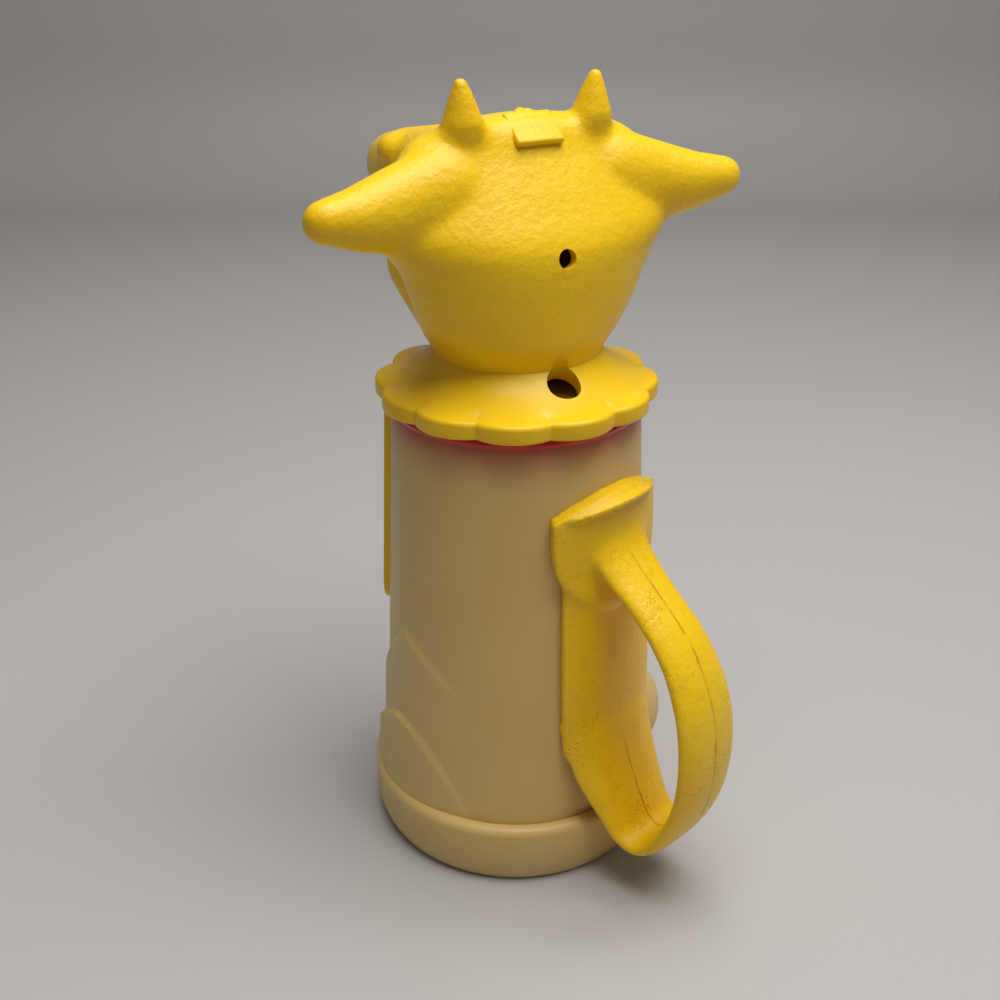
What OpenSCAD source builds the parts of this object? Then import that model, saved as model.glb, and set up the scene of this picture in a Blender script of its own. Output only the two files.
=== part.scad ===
// Child's sippy cup with a horned-calf head lid.
// Row frame: origin at the centre of the base's underside, +Z up, -Y the cup's front, handle at +Y.

/* [Cup] */
// Height of the cup's rim above the table
rim_z = 108.7; // [95:0.1:125]
// Outer radius of the wall where it meets the base band
wall_low_r = 32.3; // [31:0.1:34]
// Outer radius of the wall at the rim
wall_rim_r = 27.8; // [27:0.1:29]
// Thickness of the cup's wall
wall_t = 2; // [1.6:0.1:2.4]
// Height of the base band
band_z = 16; // [14:0.5:18]
// Largest radius of the base band
band_r = 35.6; // [35:0.1:37]
// Thickness of the base cap's floor
floor_t = 2.4; // [2:0.1:3]

/* [Handle] */
// Height where the cuff's lower edge lies on the wall
cuff_low_z = 69.5; // [66:0.5:72]
// Height where the cuff ends and the thumb ledge starts
cuff_top_z = 91; // [88:0.5:93]
// Half angle of the cuff round the wall, in degrees
cuff_half_angle = 32; // [28:1:34]
// Half angle of the back strap round the wall, in degrees
strap_half_angle = 27; // [18:1:28]

/* [Lid] */
// Thickness of the stopper's flange
flange_t = 2; // [1.6:0.1:2.4]
// Radius of the stopper's flange
flange_r = 28.3; // [28:0.1:29]
// Number of petals round the collar
petals = 12; // [10:1:14]
// Radius over the petal tips
petal_tip_r = 31.3; // [31:0.1:33]
// Radius of the straw hole
straw_r = 3.75; // [3:0.05:4]
// Lean of the straw hole away from the vertical, in degrees
straw_lean = 30; // [26:1:32]

/* [Head] */
// Turn of the head from the handle's plane as the cup stands, in degrees
head_turn = 17; // [-180:1:180]
// Height of the joint between the collar and the neck
neck_z = 121.7; // [120:0.1:123]
// Radius of the neck at the collar
neck_r = 18.4; // [18:0.1:20]
// Distance from the middle to an ear's tip
ear_reach = 49; // [45:0.5:52]
// Height of the horn tips
horn_tip_z = 177.9; // [174:0.1:182]
// Wall thickness of the two head shells
head_t = 2.2; // [1.8:0.1:2.6]

/* [Hidden] */
$fn = 96;

cream = "#e6d3a3";
yellow = "#f5c21b";
red = "#c81414";
rubber = "#e8e4da";

tiny = 0.03;                                   // gap between a faceted skin and the cone under it
far = 200;                                     // larger than the whole object
wall_slope = (wall_low_r - wall_rim_r) / (rim_z - band_z);
mouth_r = wall_rim_r - wall_t;                 // inner radius of the cup's mouth
socket_r = wall_low_r;                         // wall's straight foot inside the base cap

bib_low_z = 52;
bib_top_z = 106.5;
bib_half_angle = 39;
bib_t = 2.2;
bib_corner_r = 9;

flange_z = rim_z;                              // the flange rests on the rim
flange_top_z = flange_z + flange_t;
skirt_r = mouth_r - 0.6;
skirt_z = rim_z - 8.3;
skirt_t = 1.8;
seal_z = rim_z - 5.4;                          // middle of the seal ring
seal_h = 2.6;
seal_groove_r = skirt_r - 0.7;
hub_r = 8.5;
hub_top_z = flange_top_z + 7.6;
bead_r = hub_r + 0.7;
run_gap = 0.06;                                // radial running clearance of the hub

collar_z = flange_top_z + 0.2;                 // the collar turns just clear of the flange
rim_top_z = collar_z + 4.2;
web_z = collar_z + 1.6;
web_t = 2;
petal_r = 11.1;                                // radius of one petal's arc
straw_top = [0, 20.8, 119.9];                  // a point on the straw hole's axis
straw_sleeve = 26;                             // length of the sleeve below that point
sleeve_t = 1.4;

seam_y = -4;                                   // plane where the two head shells meet
skull = [[0, 0, 141], [27, 21, 11]];           // centre and half sizes of the jaw blob
crown = [[0, 0, 157], [22, 13, 13.5]];         // centre and half sizes of the crown blob
vent_r = 2;
vent_z = 145.3;
tab_w = 10;                                    // width of the crown's locking tab

// Outer radius of the cup's wall at height z.
function wall_r(z) = wall_low_r - (z - band_z) * wall_slope;

// Catmull-Rom point between b and c at parameter t.
function curve_point(a, b, c, d, t) =
    0.5 * (2 * b + (c - a) * t + (2 * a - 5 * b + 4 * c - d) * t * t
    + (3 * b - a - 3 * c + d) * t * t * t);

// Smooth path through the points p, with n steps in each stretch.
function smooth_path(p, n) = [
    for (i = [0 : len(p) - 2]) for (k = [0 : n - 1])
        curve_point(p[max(i - 1, 0)], p[i], p[i + 1], p[min(i + 2, len(p) - 1)], k / n),
    p[len(p) - 1]
];

// Solid cone that follows the outside of the wall between two heights, grown by extra.
module wall_cone(z0, z1, extra = 0) {
    translate([0, 0, z0]) cylinder(r1 = wall_r(z0) + extra, r2 = wall_r(z1) + extra, h = z1 - z0);
}

// Pie slice about the +Y direction, from z0 to z1.
module slice(half_angle, z0, z1) {
    translate([0, 0, z0]) rotate([0, 0, 90 - half_angle])
        rotate_extrude(angle = 2 * half_angle) square([far / 2, z1 - z0]);
}

// ---------- cup ----------

// Raised panel on the +X side: an off-centre cone seen through the outline's shadow along X.
module side_panel(outline, swell, shift, toward) {
    intersection() {
        rotate([90, 0, 90]) linear_extrude(far) polygon(outline);
        translate([shift * cos(toward), shift * sin(toward), 0]) wall_cone(band_z, 70, swell - shift);
    }
}

module both_sides() {
    children();
    mirror([1, 0, 0]) children();
}

module relief() {
    upper = [[-24, band_z], [-23, 37], [-13.5, 50.8], [-8, 57.2], [-5.6, 58.7], [-3.4, 57.8],
        [4.8, 52.3], [10.2, 48.1], [15.6, 43], [22, 34], [22, band_z]];
    lower = [[-25, band_z], [-23, 23], [-17, 30], [-11, 35], [-7.5, 36.2], [-2.5, 35.3],
        [2.2, 32.4], [6.6, 27.5], [10.4, 22], [13.6, band_z]];
    both_sides() {
        side_panel(upper, 1, 3, -25);
        side_panel(lower, 2.3, 5, -30);
    }
    // Rounded boss low on the -X side, behind the handle.
    rotate([0, 0, 138]) translate([22, 0, 26]) sphere(r = 14.4);
}

module cup_shell() {
    color(cream) difference() {
        union() {
            wall_cone(band_z, rim_z);
            translate([0, 0, floor_t]) cylinder(r = socket_r, h = band_z - floor_t);
            intersection() {
                relief();
                translate([0, 0, band_z]) cylinder(r = far, h = rim_z);
            }
        }
        translate([0, 0, band_z]) cylinder(r1 = wall_low_r - wall_t, r2 = mouth_r, h = rim_z - band_z);
        translate([0, 0, rim_z - 0.01]) cylinder(r = mouth_r, h = 1);
        translate([0, 0, -1]) cylinder(r = wall_low_r - wall_t, h = band_z + 1);
    }
}

module base_cap() {
    edge = 1.6;
    outline = [
        [0, 0], [band_r - 3.2, 0],
        for (a = [-60 : 30 : 0]) [band_r - 3 + edge * cos(a), edge + edge * sin(a)],
        [band_r, 6],
        for (a = [0 : 15 : 90]) [band_r - 1.3 + 1.3 * cos(a), band_z - 1.3 + 1.3 * sin(a)],
        [socket_r, band_z], [socket_r, floor_t], [wall_low_r - wall_t, floor_t],
        [wall_low_r - wall_t, floor_t + 4], [wall_low_r - wall_t - 1.6, floor_t + 4],
        [wall_low_r - wall_t - 1.6, floor_t], [0, floor_t]
    ];
    color(cream) rotate_extrude() polygon(outline);
}

module front_bib() {
    color(yellow) difference() {
        intersection() {
            wall_cone(bib_low_z, bib_top_z, bib_t);
            rotate([0, 0, 180]) slice(bib_half_angle, bib_low_z, bib_top_z);
            translate([0, 0, bib_low_z]) rotate([90, 0, 0]) linear_extrude(far) bib_outline();
        }
        wall_cone(bib_low_z - 1, bib_top_z + 1);
    }
}

module bib_outline() {
    translate([-far / 2, bib_corner_r]) square([far, far / 2]);
    square([2 * (bib_half_x() - bib_corner_r), 2 * bib_corner_r], center = true);
    for (s = [-1, 1]) translate([s * (bib_half_x() - bib_corner_r), bib_corner_r]) circle(bib_corner_r);
}

function bib_half_x() = (wall_r(bib_low_z) + bib_t) * sin(bib_half_angle);

// ---------- handle ----------

// Middle of the loop's thickness in the plane X = 0, from the cuff round to the wall: [y, z].
loop_points = [[31.5, 84], [35.8, 77.8], [41.4, 73.4], [46.3, 69.1], [50.6, 63.7], [53.7, 57.6],
    [55.6, 51.3], [56.5, 44], [56.3, 36.1], [55, 28.8], [52.3, 21.9], [49, 16.6], [45.6, 14.4],
    [41.6, 15.3], [38, 19.6], [34.2, 25.3], [31.2, 31.1], [29.9, 36.6]];
// Half width of the loop and height of its arch, away from the gap, at each of those points.
loop_section = [[11, 1.5], [8.4, 1], [7.6, 1], [7.6, 1], [8, 1], [8.6, 1], [9, 1], [9.2, 1], [9.2, 1],
    [9.2, 0.9], [9.3, 0.6], [9.4, 0.2], [9.5, -0.3], [9.9, -1], [10.9, -1.8], [12.3, -2.5],
    [13.5, -3.1], [14.1, -3.3]];
strap_low_z = 35;                              // the strap's lower end, inside the loop's foot
strap_t = 2.8;
cuff_sweep = 16;                               // rise of the cuff's lower edge from middle to side
cuff_edge_r = 1.4;
cuff_out = 1.1;                                // reach of the cuff's middle surface from the wall
ledge_edge_r = 0.9;
ledge_rise = 3.6;
ledge_reach = 4.4;
loop_t = 3.7;
loop_steps = 2;
loop_sides = 24;

// Point k of the ring at p: a rounded, arched strip of half width w, lying across the direction d.
function ring_point(p, w, arch, d, k) =
    let (c = cos(k * 360 / loop_sides), s = sin(k * 360 / loop_sides))
    let (x = sign(c) * pow(abs(c), 0.6), half_t = loop_t / 2 * sign(s) * pow(abs(s), 0.75))
    let (out = half_t + arch * (1 - x * x))
    [w * x, p[0] - out * d[1] / norm(d), p[1] + out * d[0] / norm(d)];

module loop() {
    n = loop_sides;
    path = smooth_path(loop_points, loop_steps);
    section = smooth_path(loop_section, loop_steps);
    last = len(path) - 1;
    rings = [for (i = [0 : last]) let (d = path[max(i - 1, 0)] - path[min(i + 1, last)])
        for (k = [0 : n - 1]) ring_point(path[i], section[i][0], section[i][1], d, k)];
    walls = [for (i = [0 : last - 1]) for (k = [0 : n - 1]) let (a = i * n + k, b = i * n + (k + 1) % n)
        each [[a, a + n, b + n], [a, b + n, b]]];
    ends = [[for (k = [0 : n - 1]) k], [for (k = [n - 1 : -1 : 0]) last * n + k]];
    polyhedron(rings, concat(walls, ends));
}

// Share of full size left at an angle from the handle's plane: 1 in the middle, 0 at the cuff's edge.
function fullness(angle) = sqrt(max(0, 1 - pow(angle / cuff_half_angle, 2)));

// Small ball on the wall at an angle from the handle's plane, its middle standing out by reach.
module bead(angle, z, reach, r) {
    rotate([0, 0, 90 + angle]) translate([wall_r(z) + reach, 0, z]) sphere(r = r, $fn = 16);
}

// Upright rib of the cuff: the outer ones stop higher, so that its lower edge is a half oval.
module cuff_rib(angle) {
    foot_z = cuff_low_z + cuff_edge_r + cuff_sweep * (1 - fullness(angle));
    for (z = [foot_z, cuff_top_z]) bead(angle, z, cuff_out, cuff_edge_r);
}

// Rib of the crescent ledge above the cuff, where the thumb rests.
module ledge_rib(angle) {
    full = fullness(angle);
    lip = 0.6;                                 // least reach of the ledge, at the cuff's ends
    bead(angle, cuff_top_z + 0.5, lip, ledge_edge_r);
    bead(angle, cuff_top_z + 1.4 + ledge_rise * full, 0.2, ledge_edge_r);
    bead(angle, cuff_top_z + 1.2 + 0.6 * ledge_rise * full, lip + ledge_reach * full, ledge_edge_r);
}

module cuff_and_ledge() {
    passes = 12;
    edge = cuff_half_angle - 3;
    for (i = [0 : passes - 1]) let (a = -edge + i * 2 * edge / passes, b = a + 2 * edge / passes) {
        hull() {
            cuff_rib(a);
            cuff_rib(b);
        }
        hull() {
            ledge_rib(a);
            ledge_rib(b);
        }
    }
}

module handle() {
    strap_top_z = cuff_low_z + 1;
    color(yellow) difference() {
        union() {
            loop();
            cuff_and_ledge();
            intersection() {
                wall_cone(strap_low_z, strap_top_z, strap_t);
                slice(strap_half_angle, strap_low_z, strap_top_z);
            }
        }
        wall_cone(band_z, rim_z, tiny);
        translate([-far / 2, -far, 0]) cube([far, far, far]);
    }
}

// ---------- lid: stopper and seal ----------

// Everything on the head side is drawn facing +Y and then turned.
module turned() {
    rotate([0, 0, -head_turn]) children();
}

// Straw hole along its leaning axis, between two distances below and above straw_top.
module straw_bore(below, above, r = straw_r) {
    translate(straw_top) rotate([-straw_lean, 0, 0]) translate([0, 0, -below])
        cylinder(r = r, h = below + above);
}

module stopper() {
    groove_low = seal_z - seal_h / 2;
    groove_high = seal_z + seal_h / 2;
    inner_r = skirt_r - skirt_t - 0.7;
    outline = [
        [0, flange_z], [inner_r, flange_z], [inner_r, skirt_z], [skirt_r, skirt_z],
        [skirt_r, groove_low], [seal_groove_r, groove_low], [seal_groove_r, groove_high],
        [skirt_r, groove_high], [skirt_r, flange_z], [flange_r, flange_z],
        [flange_r, flange_top_z], [hub_r, flange_top_z],
        [hub_r, hub_top_z - 2.2], [bead_r, hub_top_z - 1.4], [hub_r, hub_top_z], [0, hub_top_z]
    ];
    color(red) difference() {
        union() {
            rotate_extrude() polygon(outline);
            turned() intersection() {
                straw_bore(straw_sleeve, 0, straw_r + sleeve_t);
                translate([0, 0, skirt_z]) cylinder(r = inner_r, h = flange_z - skirt_z + 0.5);
            }
        }
        turned() straw_bore(straw_sleeve + 4, 4);
    }
}

module stopper_seal() {
    color(rubber) rotate_extrude() difference() {
        translate([seal_groove_r, seal_z - seal_h / 2]) square([mouth_r - 0.1 - seal_groove_r, seal_h]);
        for (s = [-1, 1]) translate([mouth_r + 0.35, seal_z + s * seal_h / 2]) circle(1.1);
    }
}

// ---------- lid: collar and head ----------

module petal_outline() {
    circle(24);
    for (i = [0 : petals - 1]) rotate(90 + i * 360 / petals)
        translate([petal_tip_r - petal_r, 0]) circle(petal_r);
}

module petal_collar() {
    shell_t = 2;
    spigot_r = neck_r - head_t;
    outline = [
        [24, collar_z], [petal_tip_r + 1, collar_z], [petal_tip_r + 1, rim_top_z - 0.4],
        [29.5, rim_top_z], [26, rim_top_z + 0.9], [22.5, rim_top_z + 2.6], [20, rim_top_z + 4.6],
        [neck_r, neck_z], [spigot_r, neck_z], [spigot_r, neck_z + 3], [spigot_r - 1.4, neck_z + 3],
        [spigot_r - 1.4, rim_top_z + 4.4], [21, rim_top_z + 0.8],
        [23, web_z + web_t], [hub_r + run_gap, web_z + web_t], [hub_r + run_gap, web_z], [24, web_z]
    ];
    color(yellow) turned() difference() {
        union() {
            intersection() {
                rotate_extrude() polygon(outline);
                translate([0, 0, collar_z]) linear_extrude(30) petal_outline();
            }
            intersection() {
                straw_bore(8, 3, straw_r + 1.2);
                rotate_extrude() polygon([
                    [12, web_z], [26, web_z], [26, rim_top_z + 0.9], [22.5, rim_top_z + 2.6],
                    [20, rim_top_z + 4.6], [neck_r, neck_z], [spigot_r - 1.4, neck_z], [12, web_z + web_t]
                ]);
            }
        }
        straw_bore(16, 10);
    }
}

// Egg-shaped blob given as [centre, half sizes], shrunk by s.
module blob(b, s = 0) {
    translate(b[0]) scale(b[1] - [s, s, s]) sphere(1, $fn = 32);
}

module skull_solid(s = 0) {
    hull() {
        blob(skull, s);
        blob(crown, s);
        translate([0, 0, neck_z]) cylinder(r = neck_r - s, h = 1, $fn = 48);
    }
}

module muzzle_solid(s = 0) {
    hull() for (side = [-1, 1]) {
        blob([[side * 11, -38.5, 155.5], [6.5, 7, 7]], s);
        blob([[side * 13, -8, 157], [10, 9, 11]], s);
        blob([[side * 12, -12, 140], [10, 9, 9]], s);
    }
}

module ears() {
    both_sides() {
        hull() {
            blob([[18, 5.2, 155.5], [10, 8, 11]]);
            blob([[32, 6.4, 155.2], [8, 6.5, 7.6]]);
        }
        hull() {
            blob([[32, 6.4, 155.2], [8, 6.5, 7.6]]);
            blob([[ear_reach - 4, 9.4, 155.9], [4, 3.8, 3.9]]);
        }
    }
}

module horns() {
    both_sides() hull() {
        translate([14, 4.2, 163]) cylinder(r = 5, h = 3, $fn = 32);
        translate([15.2, 5.1, horn_tip_z - 1.1]) sphere(1.1, $fn = 16);
    }
}

// Locking tab of the face shell, lapped over the top of the back shell.
module crown_tab() {
    hull() {
        translate([-tab_w / 2, seam_y - 1, 168]) cube([tab_w, 1, 3]);
        translate([-tab_w / 2, 7.6, 164]) cube([tab_w, 1, 3.4]);
    }
}

// Opens the neck downward for the collar's spigot.
module neck_bore() {
    cylinder(r = neck_r - head_t, h = neck_z + 4, $fn = 48);
}

module front_space() {
    translate([-far / 2, -far, 100]) cube([far, far + seam_y, far]);
}

module head_back() {
    color(yellow) turned() difference() {
        union() {
            difference() {
                skull_solid();
                front_space();
            }
            ears();
            horns();
        }
        intersection() {
            skull_solid(head_t);
            translate([-far / 2, seam_y - 1, 0]) cube([far, far, far]);
        }
        neck_bore();
        front_space();
        crown_tab();
        straw_bore(8, 12);
        translate([0, 12, vent_z]) rotate([-90, 0, 0]) cylinder(r = vent_r, h = 20, $fn = 24);
    }
}

module face_shell() {
    color(yellow) turned() {
        difference() {
            union() {
                skull_solid();
                muzzle_solid();
            }
            skull_solid(head_t);
            muzzle_solid(head_t);
            translate([-far / 2, seam_y, 0]) cube([far, far, far]);
            neck_bore();
        }
        crown_tab();
    }
}

cup_shell();
base_cap();
front_bib();
handle();
stopper();
stopper_seal();
petal_collar();
head_back();
face_shell();
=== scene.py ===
# %% [markdown]
# # A child's sippy cup with a calf-head lid
#
# The cup is a tapered beaker of milky polyethylene on a base band. A folded yellow
# strap makes the handle, a red stopper plugs the mouth, and the lid above it is a
# petal collar with a hollow calf's head. The construction is loaded first as a
# fixed frame. Every visible piece is then modelled around it and rides on one of
# its bodies, so the lid can still lift and the head can still turn.

# %% Load the frame
import math

import bpy
import numpy as np
from mathutils import Matrix, Vector


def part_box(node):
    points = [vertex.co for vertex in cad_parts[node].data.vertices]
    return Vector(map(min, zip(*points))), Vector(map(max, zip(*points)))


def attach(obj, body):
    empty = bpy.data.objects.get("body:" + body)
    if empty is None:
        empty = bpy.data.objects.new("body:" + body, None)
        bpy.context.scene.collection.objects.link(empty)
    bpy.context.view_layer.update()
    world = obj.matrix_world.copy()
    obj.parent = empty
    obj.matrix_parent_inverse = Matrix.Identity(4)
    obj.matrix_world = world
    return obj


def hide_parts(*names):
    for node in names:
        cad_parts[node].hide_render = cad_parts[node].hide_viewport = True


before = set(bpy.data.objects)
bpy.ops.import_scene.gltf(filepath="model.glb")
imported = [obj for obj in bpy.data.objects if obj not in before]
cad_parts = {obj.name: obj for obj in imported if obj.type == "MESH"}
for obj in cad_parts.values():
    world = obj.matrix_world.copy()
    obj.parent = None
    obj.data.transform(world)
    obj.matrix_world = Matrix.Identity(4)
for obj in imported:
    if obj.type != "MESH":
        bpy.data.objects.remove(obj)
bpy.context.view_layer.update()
MM = 0.001

# %% [markdown]
# ## Sizes
#
# Heights and radii come from the frame's own boxes, in millimetres. What a box can't
# say, such as the slope of the wall, is named here once and used everywhere.

# %% Sizes taken from the frame
def low(node):
    """Lowest corner of a frame node, in millimetres."""
    return np.array(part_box(node)[0]) / MM


def high(node):
    """Highest corner of a frame node, in millimetres."""
    return np.array(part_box(node)[1]) / MM


BAND_Z = high("base_cap")[2]
BAND_R = high("base_cap")[0]
FLOOR_T = 2.4
RIM_Z = high("cup_shell")[2]
WALL_LOW_R = 32.3
WALL_RIM_R = 27.8
WALL_T = 2.0
BIB_LOW_Z = low("front_bib")[2]
BIB_TOP_Z = high("front_bib")[2]
FLANGE_R = high("stopper")[0]
COLLAR_Z = low("petal_collar")[2]
FLANGE_TOP_Z = COLLAR_Z - 0.2
RIM_TOP_Z = COLLAR_Z + 4.2
NECK_Z = high("petal_collar")[2] - 3
NECK_R = 18.4
PETAL_TIP_R = 31.3
PETAL_ARC_R = 11.1
PETALS = 12
HEAD_TURN = math.radians(-17)
SEAM_Y = -4.0
SEAM_GAP = 0.12
HEAD_T = 2.2


def wall_r(z):
    """Outer radius of the cup's wall at height z."""
    return WALL_LOW_R - (z - BAND_Z) * (WALL_LOW_R - WALL_RIM_R) / (RIM_Z - BAND_Z)


print("band", BAND_Z, "rim", RIM_Z, "collar", COLLAR_Z, "neck", NECK_Z)

# %% [markdown]
# ## Hands and tools
#
# A few small helpers stand for what a modeller does over and over: pick a piece,
# run an edit on all of it, move its points by a rule, and apply a modifier.

# %% Helpers for modelling
def only(piece):
    """Selects this piece and nothing else."""
    bpy.ops.object.select_all(action="DESELECT")
    piece.select_set(True)
    bpy.context.view_layer.objects.active = piece
    return piece


def named(name):
    """Names the piece that an operator has just made."""
    piece = bpy.context.object
    piece.name = name
    piece.data.name = name
    return piece


def move_points(piece, rule, unit=MM):
    """Moves every point by a rule on x, y and z: unit is what the rule reads, and it answers in mm."""
    mesh = piece.data
    flat = np.empty(len(mesh.vertices) * 3, np.float32)
    mesh.vertices.foreach_get("co", flat)
    x, y, z = (flat.reshape(-1, 3).astype(float) / unit).T
    moved = np.stack(rule(x, y, z), axis=1) * MM
    mesh.vertices.foreach_set("co", moved.astype(np.float32).ravel())
    mesh.update()
    return piece


def weld(piece):
    """Merges doubled points and turns every face outwards."""
    only(piece)
    bpy.ops.object.mode_set(mode="EDIT")
    bpy.ops.mesh.select_all(action="SELECT")
    bpy.ops.mesh.remove_doubles(threshold=0.002 * MM)
    bpy.ops.mesh.normals_make_consistent(inside=False)
    bpy.ops.object.mode_set(mode="OBJECT")
    return piece


def modify(piece, kind, **settings):
    """Adds one modifier with its settings and applies it."""
    only(piece)
    modifier = piece.modifiers.new(kind.lower(), kind)
    for key, value in settings.items():
        setattr(modifier, key, value)
    bpy.ops.object.modifier_apply(modifier=modifier.name)
    return piece


def joined(name, pieces):
    """Joins pieces into one object."""
    only(pieces[0])
    for piece in pieces:
        piece.select_set(True)
    bpy.ops.object.join()
    return named(name)


def smooth(piece, angle=35):
    """Shades a piece smooth, except across edges sharper than the angle."""
    only(piece)
    bpy.ops.object.shade_smooth_by_angle(angle=math.radians(angle))
    return piece


def cut(piece, tools):
    """Cuts a piece with other pieces, which are used up."""
    for tool in tools:
        modify(piece, "BOOLEAN", object=tool, operation="DIFFERENCE", solver="EXACT")
        bpy.data.objects.remove(tool)
    return piece


def settle(piece):
    """Puts a piece's place, turn and size into its mesh."""
    only(piece)
    bpy.ops.object.transform_apply(location=True, rotation=True, scale=True)
    return piece


# %% [markdown]
# Turned parts, such as the base band and the stopper, start as one point that is
# extruded along half the outline and then spun about the axis, as on a potter's wheel.
# Sheets that lie on the wall start as a flat grid that a rule rolls into place.

# %% Lathe and grid
def arc(x, z, r, start, end, steps=6):
    """Points along an arc of an outline, in degrees."""
    return [(x + r * math.cos(a), z + r * math.sin(a)) for a in np.radians(np.linspace(start, end, steps))]


def lathe(name, outline, steps):
    """Spins an outline of radius and height about the axis."""
    bpy.ops.object.select_all(action="DESELECT")
    bpy.ops.mesh.primitive_plane_add(size=MM)
    piece = named(name)
    bpy.ops.object.mode_set(mode="EDIT")
    bpy.ops.mesh.merge(type="CENTER")
    x0, z0 = outline[0]
    bpy.ops.transform.translate(value=(x0 * MM, 0, z0 * MM))
    for (xa, za), (xb, zb) in zip(outline, outline[1:]):
        step = ((xb - xa) * MM, 0, (zb - za) * MM)
        bpy.ops.mesh.extrude_region_move(TRANSFORM_OT_translate={"value": step})
    bpy.ops.mesh.select_all(action="SELECT")
    bpy.ops.mesh.spin(steps=steps, angle=math.tau, center=(0, 0, 0), axis=(0, 0, 1))
    bpy.ops.object.mode_set(mode="OBJECT")
    return weld(piece)


def grid(name, across, along, rule):
    """A grid from -1 to 1 each way, with its points moved by a rule to their places in mm."""
    bpy.ops.object.select_all(action="DESELECT")
    bpy.ops.mesh.primitive_grid_add(x_subdivisions=across, y_subdivisions=along, size=2)
    return move_points(named(name), lambda x, y, z: rule(x, y), unit=1)


def around(angle, r, z):
    """Points at an angle from +X, a radius and a height."""
    return r * np.cos(angle), r * np.sin(angle), z


def ease(t):
    """Soft step from 0 to 1."""
    t = np.clip(t, 0, 1)
    return t * t * (3 - 2 * t)


# %% [markdown]
# ## The cup's wall
#
# The wall is a cone with a quiet relief low on each side: two pointed panels, one over
# the other, like folded legs. A carved outline would leave hard steps, and moulded
# plastic has none. So the wall is one fine grid rolled into a cone, and each point
# moves out by how deep it lies inside a panel's outline, eased over a millimetre.

# %% Relief of the wall
UPPER_PANEL = [(-24, 14), (-23, 37), (-13.5, 50.8), (-8, 57.2), (-5.6, 58.7), (-3.4, 57.8),
               (4.8, 52.3), (10.2, 48.1), (15.6, 43), (22, 34), (22, 14)]
LOWER_PANEL = [(-25, 14), (-23, 23), (-17, 30), (-11, 35), (-7.5, 36.2), (-2.5, 35.3),
               (2.2, 32.4), (6.6, 27.5), (10.4, 22), (14.4, 14)]
PANEL_EDGE = 1.1
BOSS_ANGLE = math.radians(138)
BOSS_OUT = 22
BOSS_Z = 26
BOSS_R = 14.4
FOOT_TUCK = 0.8


def depth_inside(y, z, outline):
    """Distance of each point inside an outline, negative outside it."""
    corners = np.array(outline, float)
    nearest = np.full(y.shape, 1e9)
    inside = np.zeros(y.shape, bool)
    for (ya, za), (yb, zb) in zip(corners, np.roll(corners, -1, axis=0)):
        dy, dz = yb - ya, zb - za
        t = np.clip(((y - ya) * dy + (z - za) * dz) / (dy * dy + dz * dz), 0, 1)
        nearest = np.minimum(nearest, np.hypot(y - ya - t * dy, z - za - t * dz))
        crosses = (za > z) != (zb > z)
        inside ^= crosses & (y < ya + (z - za) * dy / (dz if dz else 1e-9))
    return np.where(inside, nearest, -nearest)


def panel(angle, z, outline, swell, shift, toward):
    """How far a panel stands out: most towards one side, and nothing beyond its outline."""
    y = wall_r(z) * np.sin(angle)
    facing = np.abs(np.cos(angle)) * math.cos(toward) + np.sin(angle) * math.sin(toward)
    height = np.maximum(shift * facing - (shift - swell), 0)
    return height * ease(depth_inside(y, z, outline) / PANEL_EDGE + 0.5)


def boss(angle, z):
    """Rounded boss low on one side of the handle: the part of a ball that stands out of the wall."""
    aside = angle - BOSS_ANGLE
    room = BOSS_R ** 2 - (z - BOSS_Z) ** 2 - (BOSS_OUT * np.sin(aside)) ** 2
    reach = BOSS_OUT * np.cos(aside) + np.sqrt(np.maximum(room, 0)) - wall_r(z)
    return np.where((room > 0) & (np.cos(aside) > 0), np.maximum(reach, 0), 0)


def cup_point(u, v):
    """A point on the outside of the wall, from its tucked-in foot to the rim."""
    angle = math.pi * u
    z = BAND_Z - FOOT_TUCK + (RIM_Z - BAND_Z + FOOT_TUCK) * (v + 1) / 2
    upper = panel(angle, z, UPPER_PANEL, swell=1.0, shift=3, toward=math.radians(-25))
    lower = panel(angle, z, LOWER_PANEL, swell=2.3, shift=5, toward=math.radians(-30))
    swell = np.maximum(np.maximum(upper, lower), boss(angle, z))
    return around(angle, wall_r(z) + swell, z)


cup_wall = weld(grid("cup_wall", 320, 120, cup_point))
modify(cup_wall, "SOLIDIFY", thickness=WALL_T * MM, offset=-1)
smooth(cup_wall)
print("cup wall:", len(cup_wall.data.polygons), "faces")

# %% [markdown]
# ## The base band
#
# The beaker is wider at the foot than at the mouth, so it is moulded open at the foot
# and closed by this dished cap. Its soft shoulder stands proud of the wall and leaves
# the groove that catches the shade. A lathe outline with real arcs gives both.

# %% Base band
def band_outline():
    socket_r = WALL_LOW_R - WALL_T - 0.02
    return [
        (0, 0.9), (BAND_R - 7, 0.9), (BAND_R - 6, 0),
        *arc(BAND_R - 3.2, 1.9, 1.9, -90, -20),
        (BAND_R - 0.5, 3.9), (BAND_R - 0.12, 6.2), (BAND_R, 9),
        *arc(BAND_R - 1.9, BAND_Z - 2.1, 1.9, 0, 75),
        (WALL_LOW_R + 0.9, BAND_Z - 0.15), (WALL_LOW_R + 0.15, BAND_Z - 0.55),
        (WALL_LOW_R + 0.05, BAND_Z - 1), (WALL_LOW_R + 0.05, FLOOR_T + 1), (socket_r, FLOOR_T + 1),
        (socket_r, FLOOR_T + 4), (socket_r - 1.6, FLOOR_T + 4), (socket_r - 1.6, FLOOR_T), (0, FLOOR_T),
    ]


base_band = lathe("base_band", band_outline(), 240)
smooth(base_band, 40)
print("base band:", len(base_band.data.polygons), "faces")

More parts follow.
